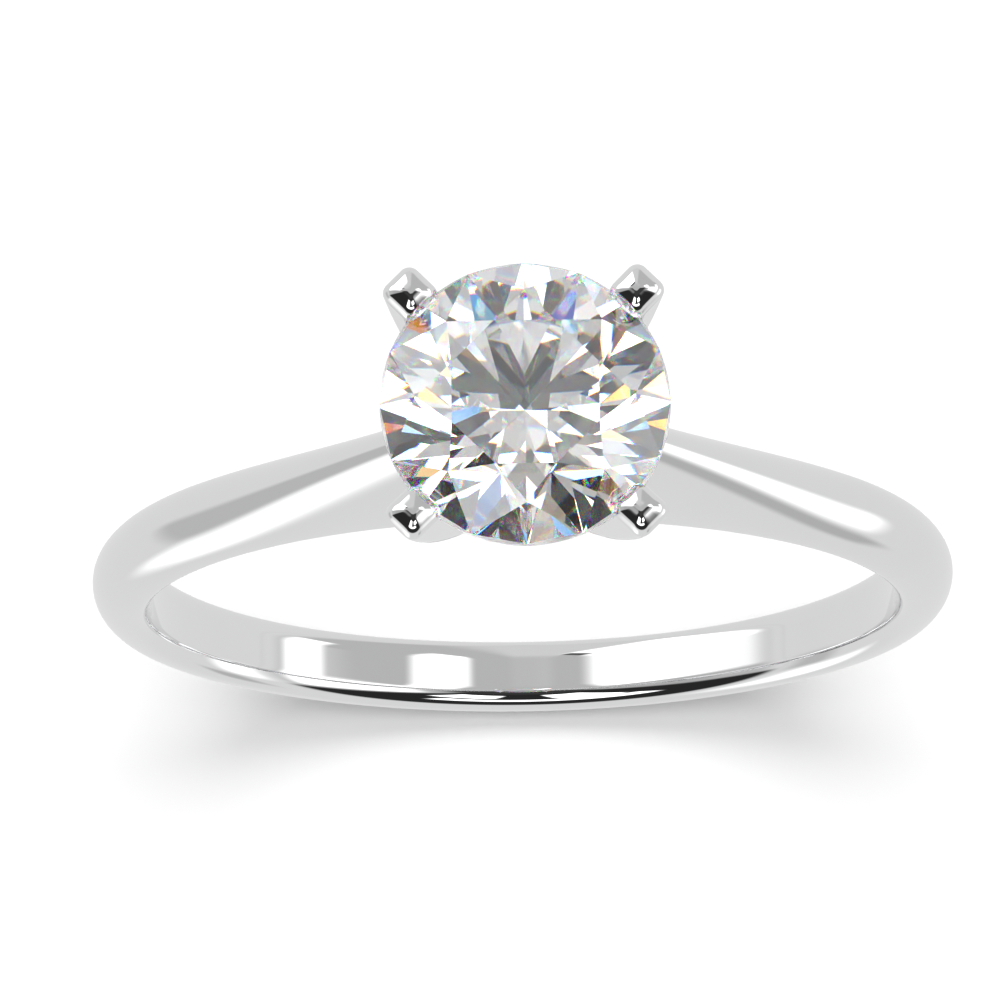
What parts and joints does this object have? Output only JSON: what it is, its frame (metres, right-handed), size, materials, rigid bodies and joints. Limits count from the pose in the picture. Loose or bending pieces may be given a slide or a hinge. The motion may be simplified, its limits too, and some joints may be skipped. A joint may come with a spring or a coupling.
{
  "type": "solitaire ring",
  "caption": "Solitaire finger ring: a polished comfort-fit band with raised shoulders and a prong head that holds a round brilliant stone.",
  "frame": {"origin": "centre of the finger hole, half way across the band", "axes": "+Y along the finger, +Z from the finger hole towards the stone, +X across the hole"},
  "size_m": [0.02, 0.0066, 0.0265],
  "materials": {
    "polished_metal": "high polish on white metal",
    "stone": "polished clear facets"
  },
  "bodies": {
    "root": {"shank": "polished_metal", "peg": "polished_metal", "head_base": "polished_metal", "gallery_rail": "polished_metal", "prong_front_left": "polished_metal", "prong_front_right": "polished_metal", "prong_back_left": "polished_metal", "prong_back_right": "polished_metal", "centre_stone": "stone"}
  },
  "joints": []
}
